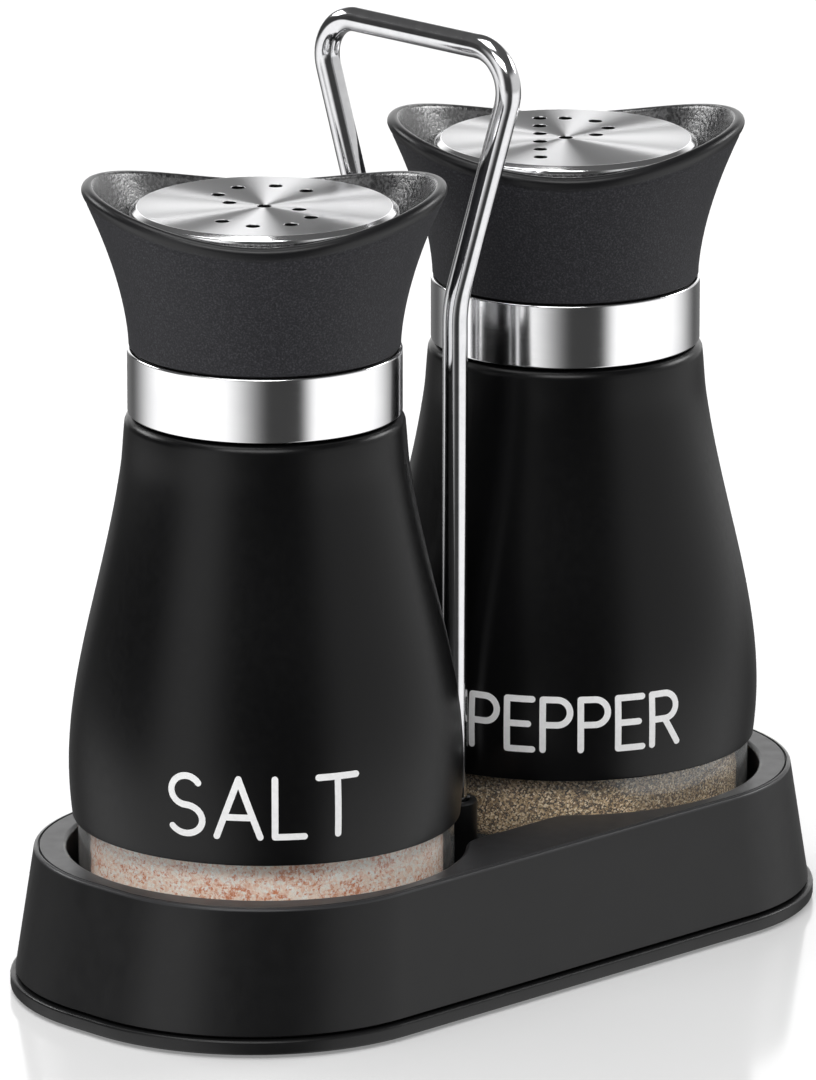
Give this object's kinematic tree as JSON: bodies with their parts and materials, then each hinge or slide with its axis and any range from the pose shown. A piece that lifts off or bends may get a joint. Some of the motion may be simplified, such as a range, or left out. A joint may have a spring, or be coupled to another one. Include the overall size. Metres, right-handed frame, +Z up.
{
  "type": "salt and pepper shaker set",
  "caption": "Glass salt and pepper shakers with black steel sleeves, steel neck bands and flared screw caps, in an oval two-well holder with a chrome wire handle.",
  "frame": {"origin": "middle of the footprint, on the surface that the foot pads stand on", "axes": "+Z up, +X from the salt shaker to the pepper shaker along the holder's length, +Y to the holder's back"},
  "size_m": [0.146, 0.0744, 0.1502],
  "materials": {
    "holder_plastic": "satin moulded black plastic, fine grain",
    "cap_plastic": "satin moulded black plastic",
    "collar_plastic": "matte black plastic with a fine spark-eroded grain and a smooth lip",
    "sleeve_paint": "satin black baked paint on steel sheet, with white print",
    "polished_steel": "polished stainless steel",
    "brushed_steel": "stainless steel with circular brushing",
    "chrome_wire": "bright chrome plating on steel wire",
    "zinc_fixings": "zinc-plated steel",
    "clear_glass": "clear glass",
    "pink_salt": "fine pink rock salt",
    "ground_pepper": "ground pepper, dry plant matter",
    "seal_silicone": "translucent white silicone",
    "foot_rubber": "matte black rubber"
  },
  "bodies": {
    "caddy": {"caddy_shell": "holder_plastic", "bottom_plate": "holder_plastic", "base_screw_1": "zinc_fixings", "base_screw_2": "zinc_fixings", "base_screw_3": "zinc_fixings", "base_screw_4": "zinc_fixings", "foot_pad_1": "foot_rubber", "foot_pad_2": "foot_rubber", "foot_pad_3": "foot_rubber", "foot_pad_4": "foot_rubber", "handle_wire": "chrome_wire", "handle_washer_front": "zinc_fixings", "handle_washer_back": "zinc_fixings", "handle_nut_front": "zinc_fixings", "handle_nut_back": "zinc_fixings"},
    "salt_bottle": {"salt_glass_bottle": "clear_glass", "salt_sleeve": "sleeve_paint", "salt_fill": "pink_salt"},
    "salt_seal": {"salt_seal_ring": "seal_silicone"},
    "salt_cap": {"salt_cap_core": "cap_plastic", "salt_neck_band": "polished_steel", "salt_collar": "collar_plastic", "salt_pour_disc": "brushed_steel"},
    "pepper_bottle": {"pepper_glass_bottle": "clear_glass", "pepper_sleeve": "sleeve_paint", "pepper_fill": "ground_pepper"},
    "pepper_seal": {"pepper_seal_ring": "seal_silicone"},
    "pepper_cap": {"pepper_cap_core": "cap_plastic", "pepper_neck_band": "polished_steel", "pepper_collar": "collar_plastic", "pepper_pour_disc": "brushed_steel"}
  },
  "joints": [
    {"name": "salt_lift", "type": "slide", "parent": "caddy", "child": "salt_bottle", "axis": [0, 0, 1], "range_m": [0, 0.15]},
    {"name": "salt_cap_rise", "type": "slide", "parent": "salt_bottle", "child": "salt_seal", "axis": [0, 0, 1], "range_m": [0, 0.005]},
    {"name": "salt_cap_turn", "type": "hinge", "parent": "salt_seal", "child": "salt_cap", "pos_m": [-0.0333, 0, 0.1], "axis": [0, 0, 1], "range_deg": [0, 450]},
    {"name": "pepper_lift", "type": "slide", "parent": "caddy", "child": "pepper_bottle", "axis": [0, 0, 1], "range_m": [0, 0.15]},
    {"name": "pepper_cap_rise", "type": "slide", "parent": "pepper_bottle", "child": "pepper_seal", "axis": [0, 0, 1], "range_m": [0, 0.005]},
    {"name": "pepper_cap_turn", "type": "hinge", "parent": "pepper_seal", "child": "pepper_cap", "pos_m": [0.0333, 0, 0.1], "axis": [0, 0, 1], "range_deg": [0, 450]}
  ],
  "couplings": [
    {"joint": "salt_cap_rise", "follows": "salt_cap_turn", "m_per_rad": 0.00063662},
    {"joint": "pepper_cap_rise", "follows": "pepper_cap_turn", "m_per_rad": 0.00063662}
  ]
}
